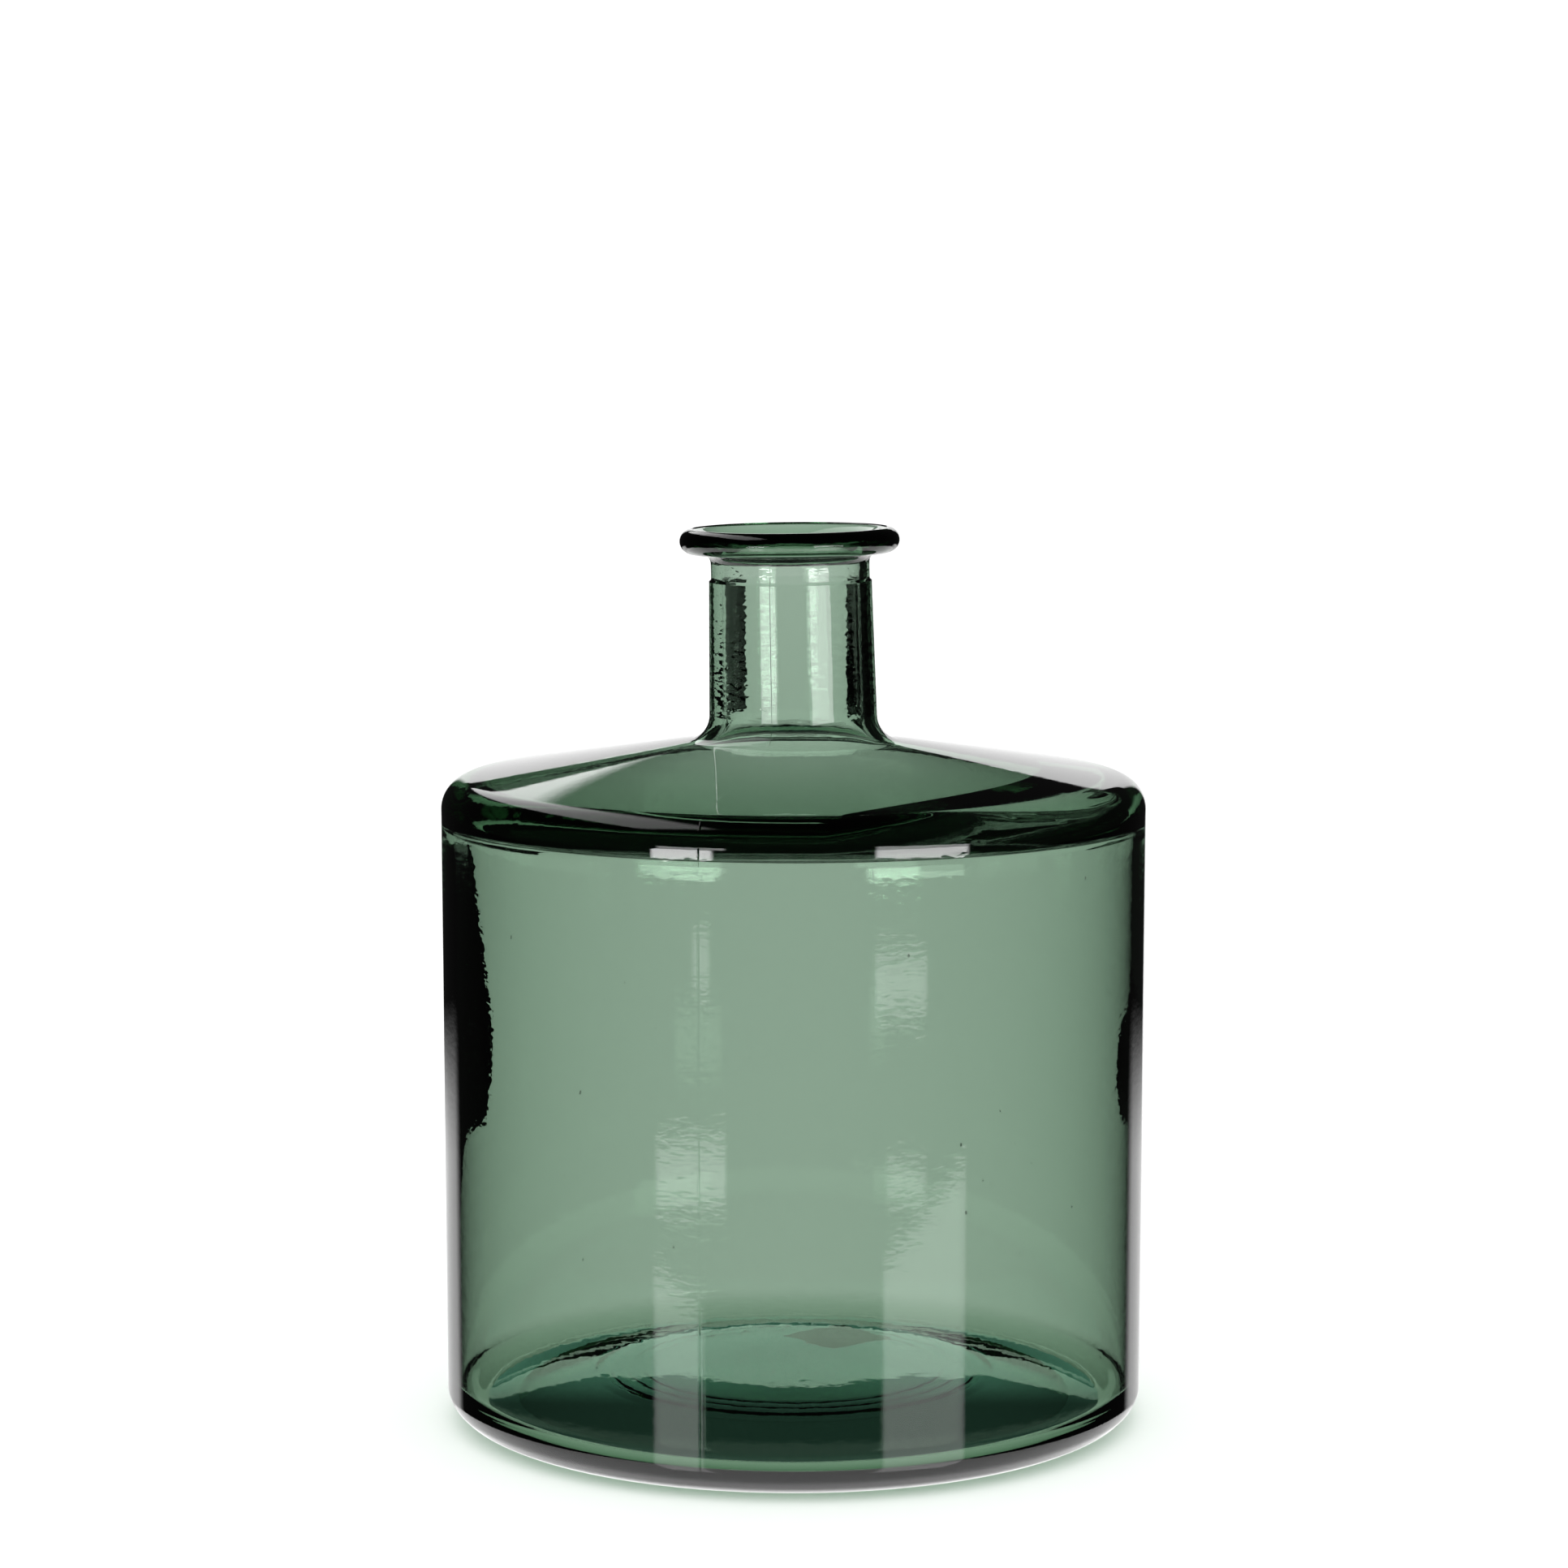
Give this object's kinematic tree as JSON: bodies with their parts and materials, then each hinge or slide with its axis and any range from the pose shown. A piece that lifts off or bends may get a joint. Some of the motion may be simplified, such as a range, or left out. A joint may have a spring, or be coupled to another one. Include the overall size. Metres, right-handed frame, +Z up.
{
  "type": "glass carboy",
  "caption": "Wide green glass bottle with a straight body, flat shoulder, short open neck and rolled lip, standing on a raised base.",
  "frame": {"origin": "centre of the foot ring, on the surface the bottle stands on", "axes": "+Z up along the body's axis; the neck leans slightly towards -X and the label lies towards +Y"},
  "size_m": [0.2096, 0.2096, 0.2674],
  "materials": {
    "green_glass": "smooth blown glass, tinted grey-green in the mass, with a few seeds and faint mould seams",
    "label_paper": "matt coated paper, blank"
  },
  "bodies": {
    "root": {"bottle": "green_glass", "base_label": "label_paper"}
  },
  "joints": []
}
